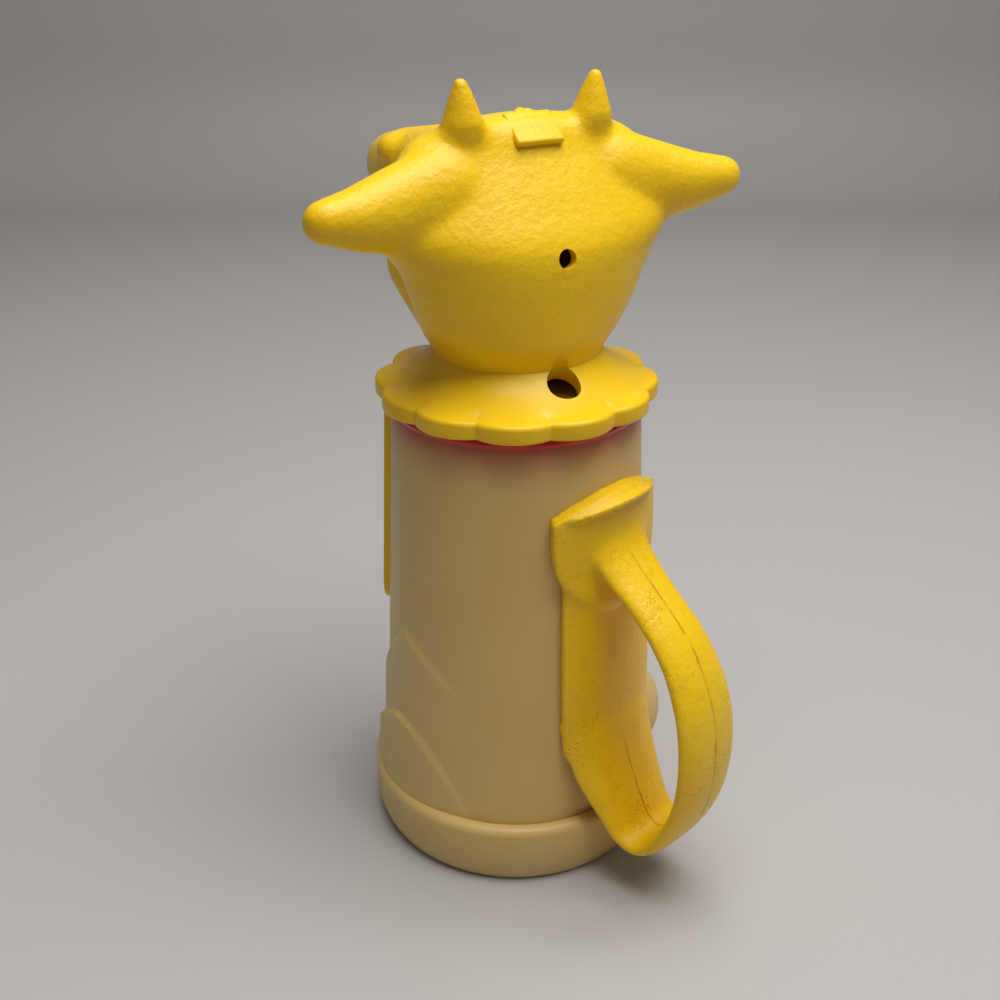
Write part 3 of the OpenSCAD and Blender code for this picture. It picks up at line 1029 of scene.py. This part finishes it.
def worn_yellow(name, peel, specks, seam=False):
    finish = Finish(name, IOR=1.48, Specular_IOR_Level=0.32, Subsurface_Weight=0.06, Subsurface_Scale=0.002)
    finish.shader.inputs["Subsurface Radius"].default_value = (1.0, 0.5, 0.1)
    patches = finish.noise(45, 4, 0.6).between(0.4, 0.7)
    colour = finish.mix(patches * 0.45, YELLOW, YELLOW_DEEP)
    if specks:
        cells = {"Vector": finish.place, "Scale": 1300.0, "Randomness": 1.0}
        spot = 1 - finish.node("ShaderNodeTexVoronoi", {}, cells, "Distance").between(0.16, 0.30)
        gathered = finish.noise(70, 3).between(0.5, 0.66)
        colour = finish.mix(spot * gathered * specks, colour, SPECK)
        smear = finish.noise(210, 5, 0.75).between(0.56, 0.72)
        colour = finish.mix(smear * 0.22 * specks, colour, SPECK)
    # A dark, broken line drawn along the seam, on the outer part of the grip.
    if seam:
        line = 1 - (finish.axis("X") + (finish.noise(90) - 0.5) * 0.0012).size().between(0.0001, 0.00045)
        outside = finish.axis("Y").between(0.033, 0.036)
        broken = finish.noise(150, 3).between(0.34, 0.52)
        colour = finish.mix(line * outside * broken * 0.55, colour, SPECK)
    finish.feed("Base Color", colour)
    finish.feed("Roughness", finish.noise(240, 4) * 0.2 + 0.24)
    skin = finish.noise(620, 3) + finish.noise(2200, 3, 0.65) * 0.35 + finish.noise(180, 2) * 0.5
    finish.bump(skin, 0.5 * peel, 0.0004)
    return finish.material


# %% [markdown]
# Two small finishes are left: glossy red for the stopper and soft silicone for its ring.

# %% Red and silicone
RED = (0.55, 0.004, 0.003, 1)
RED_DEEP = (0.42, 0.003, 0.002, 1)
SILICONE = (0.78, 0.74, 0.64, 1)
SILICONE_DEEP = (0.66, 0.60, 0.48, 1)


def glossy_red():
    finish = Finish("glossy_red", IOR=1.49)
    cloud = finish.noise(120, 3).between(0.4, 0.7)
    colour = finish.mix(cloud * 0.4, RED, RED_DEEP)
    finish.feed("Base Color", colour)
    finish.feed("Roughness", finish.noise(200, 3) * 0.15 + 0.2)
    finish.bump(finish.noise(700, 2), 0.12, 0.0002)
    return finish.material


def soft_silicone():
    finish = Finish("soft_silicone", Subsurface_Weight=0.2, Subsurface_Scale=0.002, IOR=1.42)
    colour = finish.mix(finish.noise(140, 2) * 0.3, SILICONE, SILICONE_DEEP)
    finish.feed("Base Color", colour)
    finish.feed("Roughness", finish.noise(300, 2) * 0.1 + 0.5)
    return finish.material


# %% [markdown]
# ## Pieces onto bodies
#
# Each piece takes its finish and its body, and stands in for the frame node of the same
# job.

# %% Dress and mount every piece
cream_wall = milky_cream("milky_cream_wall", True)
cream_band = milky_cream("milky_cream_band", False)
handled_yellow = worn_yellow("handled_yellow", 1.0, 0.22)
grip_yellow = worn_yellow("grip_yellow", 1.0, 0.9, seam=True)
smooth_yellow = worn_yellow("smooth_yellow", 0.25, 0.0)

for piece, finish, slot, body, node in (
    (cup_wall, cream_wall, "cup", "cup", "cup_shell"),
    (base_band, cream_band, "cup", "cup", "base_cap"),
    (bib_plate, smooth_yellow, "trim", "cup", "front_bib"),
    (loop_handle, grip_yellow, "grip", "cup", "handle"),
    (red_stopper, glossy_red(), "stopper", "stopper", "stopper"),
    (seal_ring, soft_silicone(), "seal", "stopper", "stopper_seal"),
    (petal_ruff, smooth_yellow, "collar", "head", "petal_collar"),
    (calf_head_back, handled_yellow, "head", "head", "head_back"),
    (calf_face, handled_yellow, "head", "head", "face_shell"),
):
    piece.data.materials.clear()
    piece.data.materials.append(finish)
    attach(piece, body)
    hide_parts(node)

# %% [markdown]
# ## Studio
#
# The cup stands on a pale table that sweeps up behind it. One broad lamp hangs overhead
# and a dim world fills the shade, so upright surfaces are quieter than the tops.

# %% Table and backdrop
AZIMUTH = math.radians(135)
RIGHT = (math.cos(AZIMUTH), math.sin(AZIMUTH))
AWAY = (-math.sin(AZIMUTH), math.cos(AZIMUTH))
TABLE_FRONT = 1.5
TABLE_BACK = 0.68
TABLE_HALF_WIDTH = 2.2
WALL_RISE = 1.2
SWEEP_R = 0.10
TABLE_GREY = (0.50, 0.485, 0.475, 1)
TABLE_SHADE = (0.475, 0.465, 0.46, 1)


def sweep_point(u, v):
    """A table that turns up into a wall behind the cup, seen from the camera's side, in metres."""
    run = (v + 1) / 2 * (TABLE_FRONT + TABLE_BACK + WALL_RISE)
    flat = TABLE_FRONT + TABLE_BACK
    bend = np.clip((run - flat) / SWEEP_R, 0, math.pi / 2)
    rise = np.maximum(run - flat - SWEEP_R * math.pi / 2, 0)
    along = -TABLE_FRONT + np.minimum(run, flat) + SWEEP_R * np.sin(bend)
    up = SWEEP_R * (1 - np.cos(bend)) + rise
    across = u * TABLE_HALF_WIDTH
    return across * RIGHT[0] + along * AWAY[0], across * RIGHT[1] + along * AWAY[1], up


def sweep_in_mm(u, v):
    return tuple(metres / MM for metres in sweep_point(u, v))


table = smooth(grid("table", 12, 220, sweep_in_mm), 80)
table_finish = Finish("pale_table", Roughness=0.55, IOR=1.45)
table_cloud = table_finish.noise(3.5, 2).between(0.3, 0.7)
table_finish.feed("Base Color", table_finish.mix(table_cloud * 0.5, TABLE_GREY, TABLE_SHADE))
table.data.materials.append(table_finish.material)
print("table:", len(table.data.polygons), "faces")

# %% [markdown]
# An area lamp more than half a metre wide stands in for a soft box. It hangs a little to
# the camera's right of the cup, so the soft shadow falls to the left.

# %% Lamp and world
LAMP_PLACE = Vector((-0.06, 0.12, 0.73))
LAMP_AIM = Vector((0, 0, 0.08))

light = bpy.data.lights.new("overhead", "AREA")
light.size = 0.55
light.energy = 5.8
light.color = (1, 0.985, 0.96)
lamp = bpy.data.objects.new("overhead", light)
bpy.context.collection.objects.link(lamp)
lamp.location = LAMP_PLACE
lamp.rotation_euler = (LAMP_AIM - LAMP_PLACE).to_track_quat("-Z", "Y").to_euler()
world = bpy.data.worlds.new("studio")
bpy.context.scene.world = world
world.use_nodes = True
world.node_tree.nodes["Background"].inputs["Color"].default_value = (0.9, 0.9, 0.9, 1)
world.node_tree.nodes["Background"].inputs["Strength"].default_value = 0.18
print("lamp:", round((LAMP_AIM - LAMP_PLACE).length, 3), "m from the cup")

# %% [markdown]
# The camera looks down from the handle's side and from close by, so the cup's ellipses
# open widely and its upright sides lean together a little towards the table.

# %% Camera
LENS = 43.2
DISTANCE = 0.27876
TARGET_Z = 0.08385
TILT = math.radians(26.166)
ROLL = math.radians(-0.188)
ASIDE = 0.00368

camera = bpy.data.objects.new("camera", bpy.data.cameras.new("camera"))
bpy.context.collection.objects.link(camera)
camera.data.sensor_width = 36
camera.data.lens = LENS
turn = Matrix.Rotation(AZIMUTH, 4, "Z")
tilt = Matrix.Rotation(math.pi / 2 - TILT, 4, "X")
camera.matrix_world = (
    Matrix.Translation((0, 0, TARGET_Z)) @ turn @ tilt
    @ Matrix.Translation((-ASIDE, 0, DISTANCE)) @ Matrix.Rotation(ROLL, 4, "Z")
)
camera.data.clip_start = 0.01
bpy.context.scene.camera = camera
bpy.context.scene.view_settings.view_transform = "Standard"
print("camera:", [round(c, 4) for c in camera.matrix_world.translation])
